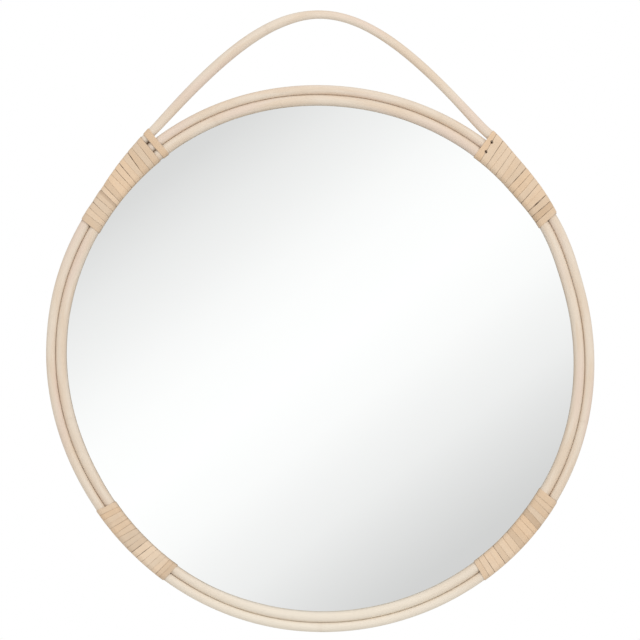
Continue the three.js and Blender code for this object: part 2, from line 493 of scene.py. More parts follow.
@dataclass(frozen=True)
class MirrorFinish:
    """Silvered float glass: the silver behind the face, a green ground edge, a painted back."""

    silver: Colour = (0.945, 0.955, 0.95)
    rim: Colour = (0.70, 0.735, 0.72)
    green: Colour = (0.42, 0.60, 0.54)
    paint: Colour = (0.20, 0.215, 0.225)

    def silvered(self, radius: float) -> bpy.types.Material:
        """The face: bright, with a faint haze from wiping and a duller last millimetre.

        Args:
            radius: The glass's radius.

        Returns:
            The material.
        """
        nodes = material_nodes("mirror_silver")
        place = nodes.place()
        east, _, north = nodes.parts(place)
        reach = nodes.math("SQRT", east * east + north * north)
        rim = reach.eased((radius - 2.5) * MM, (radius - 0.4) * MM)
        haze = nodes.noise(place, (0.09, 0.09, 0.06), 3.0)
        return nodes.dressed({
            "Base Color": nodes.mix(rim * 0.6, self.silver, self.rim),
            "Metallic": 1.0,
            "Roughness": 0.012 + haze.eased(0.5, 0.8) * 0.02 + rim * 0.05,
        })

    def ground_edge(self) -> bpy.types.Material:
        """The edge: green glass, matt from the grinding.

        Returns:
            The material.
        """
        nodes = material_nodes("mirror_edge")
        scratch = nodes.noise(nodes.place(), (0.004, 0.0002, 0.004))
        return nodes.dressed({
            "Base Color": nodes.shaded(self.green, 0.85 + scratch * 0.3),
            "Roughness": 0.22 + scratch * 0.25,
            "Specular IOR Level": 0.6,
            "Normal": nodes.bump(scratch, 0.00003, 0.5),
        })

    def painted_back(self) -> bpy.types.Material:
        """The back: the grey paint that guards the silver, in soft rolled streaks.

        Returns:
            The material.
        """
        nodes = material_nodes("mirror_back")
        streak = nodes.noise(nodes.place(), (0.12, 0.01, 0.004), 3.0)
        return nodes.dressed({
            "Base Color": nodes.shaded(self.paint, 0.85 + streak * 0.3),
            "Roughness": 0.5 + streak * 0.15,
        })


@dataclass(frozen=True)
class HardboardFinish:
    """Brown hardboard: pressed wood fibre, with the print of the press's wire screen behind."""

    light: Colour = (0.46, 0.30, 0.175)
    dark: Colour = (0.25, 0.145, 0.08)
    fleck: Colour = (0.60, 0.45, 0.30)
    screen_pitch: float = 0.0016

    def material(self) -> bpy.types.Material:
        """Builds the material.

        The screen's print is the product of two sine waves at right angles, on the faces that
        look along Y.

        Returns:
            The material.
        """
        nodes = material_nodes("hardboard")
        place = nodes.place()
        east, depth, north = nodes.parts(place)
        cloud = nodes.noise(place, (0.03, 0.03, 0.03), 4.0, 0.6)
        fibre = nodes.noise(place, (0.0035, 0.0008, 0.0006), 3.0, 0.6)
        cross = nodes.noise(place, (0.0006, 0.0008, 0.0035), 3.0, 0.6)
        rate = 2.0 * math.pi / self.screen_pitch
        waves = [nodes.math("SINE", axis * rate) for axis in (east, north)]
        screen = (waves[0] * waves[1] * 0.5 + 0.5) * depth.eased(-0.0006, -0.0002)
        colour = nodes.mix(cloud * 0.35 + fibre * 0.65, self.dark, self.light)
        colour = nodes.mix((cross.eased(0.60, 0.72) * 0.5).clamped(), colour, self.fleck)
        colour = nodes.shaded(colour, 1.0 - screen * 0.22)
        return nodes.dressed({
            "Base Color": colour,
            "Roughness": 0.72 + fibre * 0.2,
            "Specular IOR Level": 0.3,
            "Normal": nodes.bump(fibre * 0.4 + cross * 0.3 - screen * 0.9, 0.00018, 0.7),
        })


class Slot(Enum):
    """The record's material slots."""

    POLE = "rattan_pole"
    STRIP = "rattan_strip"
    GLASS = "mirror_glass"
    BOARD = "hardboard"


def place_piece(
    piece: bpy.types.Object, node: str, slot: Slot, materials: list[bpy.types.Material]
) -> None:
    """Dresses a piece, puts it in place of its CAD node and reports it.

    Args:
        piece: The finished object.
        node: The CAD node that it stands for.
        slot: The material slot that its finish belongs to.
        materials: Its materials, in slot order.
    """
    for material in materials:
        piece.data.materials.append(material)
    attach(piece, "root")
    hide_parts(node)
    log.info("%s: %d faces, finish %s", piece.name, len(piece.data.polygons), slot.value)


@dataclass(frozen=True)
class Ring:
    """The shape that both hoops follow: a circle, bent by hand and not quite round.

    Each of its waves is how many high places it has round the ring, how high they are and the
    angle of one of them. The bulge is its height and the degrees where it starts, is highest and
    ends. The poles are a little thicker or thinner in places: extras to their radius at degrees.
    """

    frame_radius: float = 250.0
    outer_pole: float = 4.5
    inner_pole: float = 4.65
    clearance: float = 0.3
    outer_extra: Pairs = (
        (16.0, 0.0), (22.0, 0.15), (32.0, 0.15), (38.0, 0.0), (140.0, 0.0), (148.0, 0.38),
        (156.0, 0.40), (164.0, 0.25), (174.0, 0.0),
    )
    inner_extra: Pairs = (
        (208.0, 0.0), (218.0, -0.35), (232.0, -0.5), (244.0, -0.5), (254.0, -0.1), (262.0, 0.0),
        (312.0, 0.0), (320.0, 0.22), (329.0, 0.22), (336.0, 0.0),
    )
    waves: tuple[tuple[int, float, float], ...] = (
        (2, 1.6, -42.0), (3, 0.5, 47.0), (4, 0.35, -27.0), (5, 0.45, -31.0), (6, 0.15, -7.0),
    )
    bulge: tuple[float, float, float, float] = (2.0, 16.0, 30.5, 41.5)
    pole_plane: float = middle_depth("inner_hoop")

    @property
    def outer_ring(self) -> float:
        """Radius of the outer hoop's centre line."""
        return self.frame_radius - self.outer_pole

    @property
    def crevice(self) -> float:
        """Radius of the line where the two hoops touch."""
        return self.outer_ring - self.outer_pole

    def bend(self, angle: np.ndarray) -> np.ndarray:
        """How far the hoops depart from a circle: the sum of the waves' cosines and the bulge.

        Args:
            angle: Angles on the ring.

        Returns:
            Distances outwards in millimetres.
        """
        height, start, peak, end = self.bulge
        turned = degrees_round(angle)
        waves = sum(
            high * np.cos(count * (angle - math.radians(degrees)))
            for count, high, degrees in self.waves
        )
        return waves + height * (ease(turned, start, peak) - ease(turned, peak, end))

    def outer_radius(self, angle: np.ndarray) -> np.ndarray:
        """The outer pole's radius at angles on the ring."""
        return self.outer_pole + read_off(self.outer_extra, degrees_round(angle))

    def inner_radius(self, angle: np.ndarray) -> np.ndarray:
        """The inner pole's radius at angles on the ring."""
        return self.inner_pole + read_off(self.inner_extra, degrees_round(angle))

    def arc(self, length: Any) -> Any:
        """A length along the ring as an angle."""
        return length / self.crevice


@dataclass(frozen=True)
class Seam:
    """The line between two turns on the front, at the inner side, the middle and the outer side.

    A shift moves it along the winding and a gap is how far the two turns stand apart there.
    """

    gaps: tuple[float, ...]
    shift: float = 0.0
    lean: float = 0.0


@dataclass(frozen=True)
class Tone:
    """One turn's own colour: lighter or darker, warmer or sandier, and how much it is stained."""

    lightness: float
    warmth: float
    stain: float = 0.0


def seam_rows(*rows: tuple[float, ...]) -> dict[int, Seam]:
    """Seams by number: each row is a number, its gaps in hundredths, its shift and its lean."""
    return {row[0]: Seam(tuple(gap / 100.0 for gap in row[1:4]), *row[4:]) for row in rows}


def tone_rows(*rows: tuple[float, ...]) -> dict[int, Tone]:
    """Tones by turn: each row is a turn, its lightness, its warmth and its stain."""
    return {row[0]: Tone(*row[1:]) for row in rows}


@dataclass(frozen=True)
class Winding:
    """Where a flat strip is wound round the poles, and how evenly.

    A hole is where two turns part over a crevice: the seam's number, how far round it lies as a
    share of the turn, and its width. Painted shade edges are turns whose last edge has painted
    shade.
    """

    name: str
    middle_degrees: float
    turns: int
    sense: int
    seed: int
    collar_space: float = 0.0
    arch_reach: float = 0.0
    leans: Triple = (0.0, 0.0, 0.0)
    seams: dict[int, Seam] = field(default_factory=dict)
    holes: tuple[Triple, ...] = ()
    painted_shade_edges: tuple[int, ...] = ()
    tones: dict[int, Tone] = field(default_factory=dict)
    strip_width: float = 5.6
    turn_clearance: float = 0.35

    @property
    def pitch(self) -> float:
        """From one turn to the next."""
        return self.strip_width + self.turn_clearance

    @property
    def all_turns(self) -> int:
        """The turns with the collar among them."""
        return self.turns + (1 if self.collar_space else 0)

    def half_span(self, ring: Ring) -> float:
        """Half the angle that the binding covers."""
        collar = self.collar_space + self.strip_width if self.collar_space else 0.0
        return ring.arc(self.turns * self.pitch + collar) / 2.0

    def last_end(self, ring: Ring) -> float:
        """The angle at which the last turn ends."""
        return math.radians(self.middle_degrees) + self.sense * self.half_span(ring)

    def first_end(self, ring: Ring) -> float:
        """The angle at which the first turn starts."""
        return math.radians(self.middle_degrees) - self.sense * self.half_span(ring)


@dataclass(frozen=True)
class Arch:
    """The pole that the mirror hangs by: an open curve whose arms run on beside the outer hoop.

    The profile is the pole's radius at degrees round the ring, as a share of its thickest.
    """

    ring: Ring
    left: Winding
    right: Winding
    pole: float = 5.1
    profile: Pairs = (
        (31.5, 0.08), (38.5, 0.41), (46.0, 0.57), (52.0, 0.90), (56.0, 0.90), (62.0, 0.83),
        (78.0, 0.82), (88.0, 0.765), (91.0, 0.765), (96.0, 0.91), (103.0, 0.98), (111.0, 1.0),
        (120.0, 0.93), (127.0, 0.85), (133.0, 0.56), (142.2, 0.08),
    )
    rise: float = 63.3
    crown_radius: float = 82.3
    crown_shift: float = -1.9
    arm_degrees: float = 55.9
    leaving_bend: float = 1.2
    settling_degrees: float = 8.0
    tip_cover: float = 5.6
    tip_sink: float = 11.2

    @property
    def left_tip(self) -> float:
        """The angle of the tip under the left binding."""
        return self.left.last_end(self.ring) + self.ring.arc(self.left.arch_reach)

    @property
    def right_tip(self) -> float:
        """The angle of the tip under the right binding."""
        return self.right.last_end(self.ring) - self.ring.arc(self.right.arch_reach)

    def radius(self, angle: np.ndarray) -> np.ndarray:
        """The pole's radius, read off its profile and rounded off over a degree each way."""
        near = np.degrees(angle)[..., None] + np.array([-1.0, 0.0, 1.0])
        return self.pole * read_off(self.profile, near).mean(axis=-1)

    def past_collar(self, angle: np.ndarray) -> np.ndarray:
        """How far angles lie past the collars, under the bindings: less than 0 in the open."""
        left, right = self.left.last_end(self.ring), self.right.last_end(self.ring)
        return np.maximum(angle - left, right - angle)

    def distance(self, angle: np.ndarray) -> np.ndarray:
        """Distance from the middle to the arch's centre line.

        The free arch is a hyperbola whose arms tend to a straight slope, met by the ray at this
        angle. Near the bindings it eases down until the pole lies against the outer hoop.

        Args:
            angle: Angles on the ring.

        Returns:
            Distances in millimetres.
        """
        slope = math.tan(math.radians(self.arm_degrees))
        depth = self.crown_radius * slope * slope
        apex = self.ring.frame_radius + self.rise + depth
        across, up = np.cos(angle), np.sin(angle)
        linear = apex * up - slope * slope * across * self.crown_shift
        constant = apex * apex - depth * depth - (slope * self.crown_shift) ** 2
        quadratic = up * up - slope * slope * across * across
        free = constant / (linear + np.sqrt(linear * linear - quadratic * constant))
        seat = self.ring.frame_radius + self.ring.bend(angle) + self.ring.clearance
        rise = (free - seat - self.radius(angle)) / 2.0
        stand_off = rise + np.sqrt(rise * rise + self.leaving_bend**2)
        settled = ease(self.past_collar(angle), 0.0, math.radians(self.settling_degrees))
        return seat + self.radius(angle) + stand_off * (1.0 - settled)


@dataclass(frozen=True)
class Poles:
    """The three bent poles: outer hoop, inner hoop and hanging arch."""

    ring: Ring
    arch: Arch
    windings: tuple[Winding, ...]
    sides: int = 28
    hoop_steps: int = 720
    arch_steps: int = 520
    seam_degrees: float = 222.0
    inset: float = 0.06
    lap: float = 0.3
    joint_spacing: float = 330.0
    joint_length: float = 1.6
    joint_swell: float = 0.03
    wander: float = 0.0075
    wander_length: float = 140.0
    # How far round a pole the painted shade of a crevice reaches, and the painted shade beside a
    # collar.
    crevice_reach: float = 0.62
    collar_shade: float = 0.12
    soft_end: float = 0.8
    joint_step: float = 97.0
    grain_step: float = 500.0

    def painted_wrap_shade(self, angle: np.ndarray) -> np.ndarray:
        """The painted shade that the turns lay on the poles: 1 under them, a little beside a
        collar, 0 in the open.

        Args:
            angle: Angles on the ring.

        Returns:
            Values between 0 and 1.
        """
        cover = np.zeros_like(angle)
        soft = self.ring.arc(self.soft_end)
        for winding in self.windings:
            half = self.ring.arc(winding.turns * winding.pitch) / 2.0
            middles = (
                math.radians(winding.middle_degrees),
                winding.first_end(self.ring) + winding.sense * half,
            )
            whole, turns = (np.abs(np.angle(np.exp(1j * (angle - middle)))) for middle in middles)
            shade = self.collar_shade * (whole < winding.half_span(self.ring) - soft)
            under = 1.0 - ease(turns, half - soft * 1.5, half - soft * 0.5)
            cover = np.maximum(cover, np.maximum(shade, under))
        return cover

    def tube(
        self,
        name: str,
        centre: np.ndarray,
        outward: np.ndarray,
        radius: np.ndarray,
        masks: tuple[np.ndarray, np.ndarray],
        closed: bool,
        seed: int,
    ) -> bpy.types.Object:
        """A round pole carried along a centre line.

        Every section is a circle in the plane of the outward direction and Y, whose radius
        wanders a little along the pole and swells at the joints where leaves once grew.

        Args:
            name: The piece's name.
            centre: The centre line in millimetres, as steps x 3.
            outward: The direction away from the ring's middle at each step.
            radius: The pole's radius at each step.
            masks: How much painted shade the crevice with a pole outside and inside gets at each
                step.
            closed: Whether the pole is a ring.
            seed: Chooses its irregularities.

        Returns:
            The piece.
        """
        turn = np.linspace(0.0, 2.0 * np.pi, self.sides, endpoint=False)
        steps = np.linalg.norm(np.diff(centre, axis=0), axis=1)
        along = np.concatenate([[0.0], np.cumsum(steps)])
        past_joint = (along + self.joint_step * seed) % self.joint_spacing
        from_joint = past_joint - self.joint_spacing / 2.0
        joint = np.exp(-((from_joint / self.joint_length) ** 2))
        thinner = self.wander * (ripple(along, self.wander_length, seed) - 1.0)
        size = (radius - self.inset) * (1.0 + thinner) + joint * self.joint_swell
        wallward = np.array([0.0, 1.0, 0.0])
        across = np.cos(turn)[None, :, None]
        spoke = outward[:, None, :] * across + wallward * np.sin(turn)[None, :, None]
        points = (centre[:, None, :] + spoke * size[:, None, None]) * MM
        length = np.broadcast_to(along[:, None], points.shape[:2]) + self.grain_step * seed
        sides = size[:, None] * np.cos(turn), size[:, None] * np.sin(turn)
        grain = np.stack([length, *sides], axis=-1)
        angle = np.arctan2(centre[:, 2], centre[:, 0])
        # Painted shade: the crevice share darkens a pole where it meets another, the cover darkens
        # it under the bindings.
        crevice = np.maximum(
            ease(np.cos(turn), self.crevice_reach, 1.0) * masks[0][:, None],
            ease(-np.cos(turn), self.crevice_reach, 1.0) * masks[1][:, None],
        )
        cover = np.broadcast_to(self.painted_wrap_shade(angle)[:, None], crevice.shape)
        knot = np.broadcast_to(joint[:, None], crevice.shape)
        attributes = {"grain": grain * MM, "place": np.stack([crevice, cover, knot], axis=-1)}
        return skin(name, points, attributes, closed=closed)

    def beside_arch(self, angle: np.ndarray) -> np.ndarray:
        """How close the arch lies to the outer hoop.

        Args:
            angle: Angles on the ring.

        Returns:
            1 where they touch, 0 once they part.
        """
        turned = np.mod(angle, 2.0 * np.pi)
        along = (turned > self.arch.right_tip) & (turned < self.arch.left_tip)
        inside = np.clip(turned, self.arch.right_tip, self.arch.left_tip)
        edge = self.ring.frame_radius + self.ring.bend(inside)
        apart = self.arch.distance(inside) - self.arch.radius(inside) - edge
        wound = self.arch.past_collar(inside) > 0.0
        return np.where(along & wound, 1.0 - ease(apart, 0.35, 0.8), 0.0)

    def hoop(self, name: str, outside: bool) -> bpy.types.Object:
        """One hoop. The inner one is filled out so that it touches the outer one.

        Args:
            name: The piece's name.
            outside: Whether it is the outer hoop.

        Returns:
            The piece.
        """
        start = math.radians(self.seam_degrees)
        angle = start + np.linspace(0.0, 2.0 * np.pi, self.hoop_steps, endpoint=False)
        fill = self.ring.clearance / 2.0 + self.lap / 2.0
        sizes = self.ring.outer_radius(angle) if outside else self.ring.inner_radius(angle) + fill
        touching = self.ring.crevice + self.ring.bend(angle)
        middle = touching + sizes if outside else touching + self.lap - sizes
        centre = around(angle, middle, self.ring.pole_plane)
        outward = around(angle, np.ones_like(angle), 0.0) / MM
        whole = np.ones_like(angle)
        masks = (self.beside_arch(angle), whole) if outside else (whole, whole * 0.0)
        seed = 3 if outside else 8
        return self.tube(name, centre / MM, outward, sizes, masks, True, seed)

    def bow(self, name: str) -> bpy.types.Object:
        """The arch, from its right tip over the crown to its left tip.

        Args:
            name: The piece's name.

        Returns:
            The piece.
        """
        angle = np.linspace(self.arch.right_tip, self.arch.left_tip, self.arch_steps)
        centre = around(angle, self.arch.distance(angle), self.ring.pole_plane) / MM
        along = np.gradient(centre, axis=0)
        along /= np.linalg.norm(along, axis=1, keepdims=True)
        outward = np.stack([along[:, 2], np.zeros_like(angle), -along[:, 0]], axis=-1)
        masks = (np.zeros_like(angle), self.beside_arch(angle))
        return self.tube(name, centre, outward, self.arch.radius(angle), masks, False, 5)

    def build(self, material: bpy.types.Material) -> None:
        """Makes the three poles.

        Args:
            material: Their finish.
        """
        pieces = {
            "outer_hoop": self.hoop("hoop_outer", True),
            "inner_hoop": self.hoop("hoop_inner", False),
            "hanging_arch": self.bow("arch_pole"),
        }
        for node, piece in pieces.items():
            place_piece(piece, node, Slot.POLE, [material])


class BundleOutline:
    """The closed line drawn tight round the poles, at every angle that a binding covers.

    In the plane across the poles, the line's farthest reach in each direction is the greatest
    reach of any pole's circle, so each direction gives one point of it, on the circle that
    reaches farthest. The line is then read by the share of its length, from the middle of the
    back over the inner side, the front and the outer side.
    """

    stations = 240
    facings = 720
    shares = 360

    def __init__(self, ring: Ring, arch: Arch, first: float, last: float) -> None:
        """Works out the line at evenly spaced angles.

        Args:
            ring: The hoops' shape.
            arch: The arch's shape.
            first: The lowest angle.
            last: The highest angle.
        """
        self.first = first
        self.last = last
        angle = np.linspace(first, last, self.stations)
        past_tip = np.maximum(angle - arch.left_tip, arch.right_tip - angle)
        sunk = clamp01((past_tip - ring.arc(arch.tip_cover)) / ring.arc(arch.tip_sink))
        outer_radius = ring.outer_radius(angle)
        outer = ring.crevice + ring.bend(angle) + outer_radius
        inner_radius = ring.inner_radius(angle)
        inner = ring.crevice - ring.clearance + ring.bend(angle) - inner_radius
        bow = arch.distance(angle) * (1.0 - sunk) + outer * sunk
        bow_radius = arch.radius(angle) * (1.0 - sunk) + outer_radius * sunk
        distances = np.stack([inner, outer, bow])
        radii = np.stack([inner_radius, outer_radius, bow_radius])
        facing = np.pi + np.linspace(0.0, 2.0 * np.pi, self.facings)
        reach = distances[:, :, None] * np.cos(facing) + radii[:, :, None]
        farthest = np.argmax(reach, axis=0)
        rows = np.arange(self.stations)[:, None]
        distance = distances[farthest, rows] + radii[farthest, rows] * np.cos(facing)
        depth = radii[farthest, rows] * np.sin(facing)
        steps = np.hypot(np.diff(distance, axis=1), np.diff(depth, axis=1)) + 1e-9
        lengths = np.concatenate([np.zeros((self.stations, 1)), np.cumsum(steps, axis=1)], axis=1)
        self.perimeter = lengths[:, -1]
        # The lines are laid end to end with a little space between, so that one reading does.
        places = lengths / self.perimeter[:, None] * NEARLY + rows
        wanted = np.linspace(0.0, 1.0, self.shares)[None, :] * NEARLY + rows
        flat = places.ravel()
        facing = np.broadcast_to(facing, places.shape)
        self.table = np.stack(
            [np.interp(wanted, flat, grid.ravel()) for grid in (distance, depth, facing)], axis=-1
        )

    def read(self, angle: np.ndarray, share: np.ndarray) -> tuple[np.ndarray, ...]:
        """Reads the line between its stations, by the four nearest values.

        Args:
            angle: Angles on the ring.
            share: Shares of the line's length, whole numbers being the middle of the back.

        Returns:
            Distance from the ring's middle, depth from the pole plane, and facing.
        """
        across = (angle - self.first) / (self.last - self.first) * (self.stations - 1)
        across = np.clip(across, 0.0, self.stations - 2 + NEARLY)
        along = np.mod(share - 0.25, 1.0) * (self.shares - 1)
        row, column = across.astype(int), along.astype(int)
        down, right = (across - row)[..., None], (along - column)[..., None]
        near, far = (
            self.table[here, column] * (1.0 - right) + self.table[here, column + 1] * right
            for here in (row, row + 1)
        )
        return tuple(np.moveaxis(near * (1.0 - down) + far * down, -1, 0))

    def length(self, angle: np.ndarray) -> np.ndarray:
        """The line's length at angles on the ring."""
        return np.interp(angle, np.linspace(self.first, self.last, self.stations), self.perimeter)


@dataclass(frozen=True)
class Binding:
    """One flat strip wound round the poles turn by turn."""

    ring: Ring
    arch: Arch
    winding: Winding
    samples: int = 120
    inner_offset: float = 0.06
    outer_offset: float = 0.66
    lowering: float = 0.06
    slope: float = 0.04
    # How dark the painted shade on a shaded edge is.
    tuck_shade: float = 0.7
    margin: float = 2.0
    grain_step: float = 900.0

    # The strip's section: places across it from edge to edge and their share of the thickness,
    # first over its face and then back along its underside.
    across: tuple[float, ...] = (
        -1.0, -0.985, -0.95, -0.88, -0.70, -0.35, 0.0, 0.35, 0.70, 0.88, 0.95, 0.985, 1.0,
        0.97, 0.0, -0.97,
    )
    height: tuple[float, ...] = (
        0.50, 0.74, 0.90, 0.97, 0.99, 1.0, 1.0, 1.0, 0.99, 0.97, 0.90, 0.74, 0.50,
        0.0, 0.0, 0.0,
    )
    turn_length: float = 64.0

    def seam(self, number: int) -> Seam:
        """Finds a seam.

        Args:
            number: Its number, counted from the start of the winding.

        Returns:
            The winding's own seam, or an ordinary one with a little chance in it.
        """
        if number in self.winding.seams:
            return self.winding.seams[number]
        chance = np.random.default_rng([self.winding.seed, number])
        gap = float(chance.uniform(0.06, 0.16))
        return Seam((gap, gap, gap), float(chance.uniform(-0.25, 0.25)))

    def knots(self) -> tuple[np.ndarray, np.ndarray]:
        """Each seam's place and half gap, four times a turn: back, inner side, front, outer side.

        The place is counted along the winding in millimetres. A lean moves the inner side back
        and the outer side on. At the back both are the mean of what comes before and after, and
        the strip's last end there is cut back to the front's last edge. At a collar the seam
        opens to the bare stretch, and later seams move on by its whole length.

        Returns:
            The places and the half gaps, from the seam before the first turn on.
        """
        winding = self.winding
        count = winding.all_turns + 2
        seams = [self.seam(number) for number in range(count)]
        lean = np.interp(np.linspace(0.0, 1.0, count), (0.0, 0.5, 1.0), winding.leans)
        lean = lean + np.array([seam.lean for seam in seams])
        shift = np.array([seam.shift for seam in seams])
        gaps = np.array([seam.gaps for seam in seams])
        space = np.zeros(count)
        opening = np.zeros(count)
        if winding.collar_space:
            space[winding.turns] = winding.collar_space / 2.0
            space[winding.turns + 1 :] = winding.collar_space
            opening[winding.turns] = winding.collar_space / 2.0
        front = np.arange(count) * winding.pitch + shift + space
        step = winding.pitch / 4.0
        place = np.empty((count, 4))
        place[:, 1] = front - step - lean / 2.0
        place[:, 2] = front
        place[:, 3] = front + step + lean / 2.0
        place[1:, 0] = (place[:-1, 3] + place[1:, 1]) / 2.0
        place[0, 0] = place[0, 1] - step
        place[-1, 0] = place[-2, 2]
        half = np.empty((count, 4))
        half[:, 1:] = gaps / 2.0 + opening[:, None]
        half[1:, 0] = (half[:-1, 3] + half[1:, 1]) / 2.0
        half[0, 0] = half[0, 1]
        return place.ravel(), half.ravel()

    def half_gap(self, knots: np.ndarray, turn: np.ndarray) -> np.ndarray:
        """Half the gap between two turns, with its holes.

        A hole pushes each edge back by half its width times exp(-a^4), where a is the distance
        from its middle along the turn in half widths.

        Args:
            knots: The half gaps, four times a turn.
            turn: The count of turns so far.

        Returns:
            Half gaps in millimetres.
        """
        gap = through_knots(knots, turn)
        for seam, share, width in self.winding.holes:
            away = (turn - seam - share) * self.turn_length * 2.0 / width
            gap = gap + width / 2.0 * np.exp(-(away**4))
        return gap

    def tone(self, turn: np.ndarray) -> np.ndarray:
        """Each turn's lightness, warmth and stain, changing from one to the next at the back.

        Args:
            turn: The count of turns so far.

        Returns:
            One vector for each count.
        """
        count = self.winding.all_turns + 1
        chance = np.random.default_rng(self.winding.seed)
        random = np.clip(chance.normal(0.0, (0.45, 0.45), (count, 2)), -1.0, 1.0)
        rows = np.hstack([random, np.zeros((count, 1))])
        for number, tone in self.winding.tones.items():
            rows[number] = (tone.lightness, tone.warmth, tone.stain)
        whole = np.clip(np.floor(turn).astype(int), 0, count - 1)
        after = np.clip(whole + 1, 0, count - 1)
        part = ease(turn - np.floor(turn), 0.85, 1.0)[:, None]
        return rows[whole] * (1.0 - part) + rows[after] * part

    def build(self, material: bpy.types.Material) -> None:
        """Winds the strip.

        A point of it is given by the count of turns and the place across the strip. Its angle on
        the ring lies between the strip's two edges, and it stands off the poles' outline by the
        inner offset and its share of the thickness, which is a little less on some turns and
        slopes a little from edge to edge.

        Args:
            material: The strip's finish.
        """
        winding = self.winding
        turn = np.linspace(0.0, winding.all_turns, winding.all_turns * self.samples + 1)
        place, half = self.knots()
        before = self.half_gap(half, turn)
        after = self.half_gap(half, turn + 1.0)
        trailing = through_knots(place, turn) + before
        leading = through_knots(place, turn + 1.0) - after
        across = np.array(self.across)
        height = np.array(self.height)
        share = (across + 1.0) / 2.0
        wound = trailing[:, None] * (1.0 - share) + leading[:, None] * share
        start = winding.first_end(self.ring)
        angle = start + winding.sense * self.ring.arc(wound)
        margin = self.ring.arc(self.margin)
        outline = BundleOutline(self.ring, self.arch, angle.min() - margin, angle.max() + margin)
        turns = np.broadcast_to(turn[:, None], angle.shape)
        distance, depth, facing = outline.read(angle, turns)
        lowered = self.lowering * (1.0 + ripple(turn, 2.7, winding.seed))
        slope = self.slope * ripple(turn, 3.3, winding.seed + 50)
        top = self.outer_offset - lowered[:, None] - slope[:, None] * (1.0 + across) * height
        offset = self.inner_offset + (top - self.inner_offset) * height
        points = around(
            angle,
            distance + offset * np.cos(facing),
            self.ring.pole_plane + depth + offset * np.sin(facing),
        )
        length = np.concatenate([[0.0], np.cumsum(np.diff(turn) * outline.length(angle[1:, 6]))])
        width = (leading - trailing)[:, None] * across / 2.0
        along = np.broadcast_to(length[:, None], width.shape)
        thick = height * np.ones_like(width)
        grain = np.stack([along + self.grain_step * winding.seed, width, thick], axis=-1)
        # The painted shade at each edge grows with the gap beside that edge.
        gap = np.where(across < 0.0, before[:, None], after[:, None])
        strength = 0.05 + 0.95 * ease(gap, 0.03, 0.3)
        # Painted shade on the strip's underside and on the last part of turns listed with shaded
        # edges.
        dim = np.isin(np.floor(turn), winding.painted_shade_edges)[:, None] * ease(across, 0.1, 0.5)
        under = np.maximum((height < 0.1).astype(float), dim * self.tuck_shade)
        across = np.broadcast_to(across, width.shape)
        place = np.stack([across, strength, under], axis=-1)
        tone = np.broadcast_to(self.tone(turn)[:, None, :], points.shape)
        attributes = {"grain": grain * MM, "place": place, "tone": tone}
        piece = skin(f"strip_{winding.name}", points, attributes)
        place_piece(piece, f"binding_{winding.name}", Slot.STRIP, [material])


@dataclass(frozen=True)
class Disc:
    """A round plate on the mirror's axis: rings of growing radius on the face, edge and back."""

    node: str
    segments: int = 256

    def turned(
        self, name: str, inner: np.ndarray, edge: np.ndarray, **options: Any
    ) -> bpy.types.Object:
        """Turns the plate's outline round the axis.

        Args:
            name: The piece's name.
            inner: The radii of the rings on the face, and again on the back.
            edge: Radius and depth of each ring of the edge, from the face on.
            options: Slots and sharp edges for the surface.

        Returns:
            The piece.
        """
        front, back = depths(self.node)
        radius = np.concatenate([inner, edge[0], inner[::-1]])
        depth = np.concatenate([np.full_like(inner, front), edge[1], np.full_like(inner, back)])
        turn = np.linspace(0.0, 2.0 * np.pi, self.segments, endpoint=False)
        points = around(turn[None, :], radius[:, None], depth[:, None])
        return skin(name, points, {}, **options)


@dataclass(frozen=True)
class Glass(Disc):
    """The round mirror glass behind the hoops, its edge ground with two small bevels."""

    node: str = "mirror_glass"
    bevel: float = 0.5

    def build(self, finish: MirrorFinish) -> None:
        """Turns the glass and dresses its face, edge and back.

        Args:
            finish: The finishes of the three.
        """
        radius = half_width(self.node)
        front, back = depths(self.node)
        inner = np.array([2.0, 60.0, 120.0, 180.0, 215.0, radius - self.bevel])
        edge = np.array([[radius, radius], [front + self.bevel, back - self.bevel]])
        slots = np.array([0] * 5 + [1] * 3 + [2] * 5)
        piece = self.turned("glass_disc", inner, edge, row_slots=slots, sharp_degrees=20.0)
        materials = [finish.silvered(radius), finish.ground_edge(), finish.painted_back()]
        place_piece(piece, self.node, Slot.GLASS, materials)


@dataclass(frozen=True)
class Board(Disc):
    """The round hardboard behind the glass, with its sawn edge softened by quarter circles."""

    node: str = "backing_board"
    soft_edge: float = 0.35

    def build(self, material: bpy.types.Material) -> None:
        """Turns the board: face, an edge with rounded corners, back.

        Args:
            material: Its finish.
        """
        arc = np.linspace(0.0, np.pi / 2.0, 5)
        radius = half_width(self.node) - self.soft_edge * (1.0 - np.sin(arc))
        sunk = self.soft_edge * (1.0 - np.cos(arc))
        front = depths(self.node)[0]
        depth = np.concatenate([front + sunk, (-sunk)[::-1]])
        edge = np.array([np.concatenate([radius, radius[::-1]]), depth])
        inner = np.array([2.0, 80.0, 160.0, 220.0])
        piece = self.turned("board_disc", inner, edge, sharp_degrees=40.0)
        place_piece(piece, self.node, Slot.BOARD, [material])


